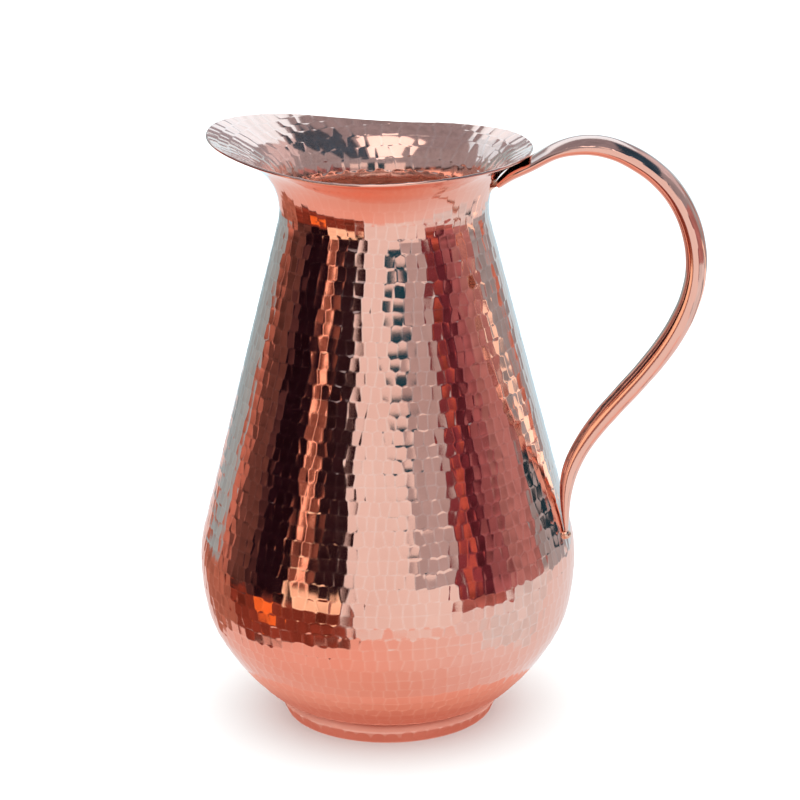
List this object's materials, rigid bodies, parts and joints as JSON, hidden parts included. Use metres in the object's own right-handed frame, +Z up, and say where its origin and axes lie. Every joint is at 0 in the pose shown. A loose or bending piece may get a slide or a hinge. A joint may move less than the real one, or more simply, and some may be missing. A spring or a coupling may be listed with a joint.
{
  "type": "water jug",
  "caption": "Hammered copper water jug: pear-shaped raised vessel, narrow neck, oval flared mouth with a pouring lip, soldered foot ring and a looped strap handle.",
  "frame": {"origin": "centre of the foot ring on the surface that the jug stands on", "axes": "+Z up through the mouth, +X towards the handle, -X towards the pouring lip, +Y to the jug's side"},
  "size_m": [0.2015, 0.15, 0.2402],
  "materials": {
    "hammered_copper": "bare copper sheet, planished all over with small hammer facets and polished bright",
    "plain_copper": "bare copper sheet, smooth, dulled inside the vessel",
    "foot_copper": "bare copper, satin shoulder over a hammered polished band",
    "polished_copper": "bare forged copper, smooth and mirror polished",
    "braze": "copper-coloured braze metal, smooth and satin"
  },
  "bodies": {
    "root": {"vessel_wall": "hammered_copper", "base_disc": "plain_copper", "base_braze": "braze", "foot_ring": "foot_copper", "foot_braze": "braze", "handle": "polished_copper", "handle_top_braze": "braze", "handle_tail_braze": "braze"}
  },
  "joints": []
}
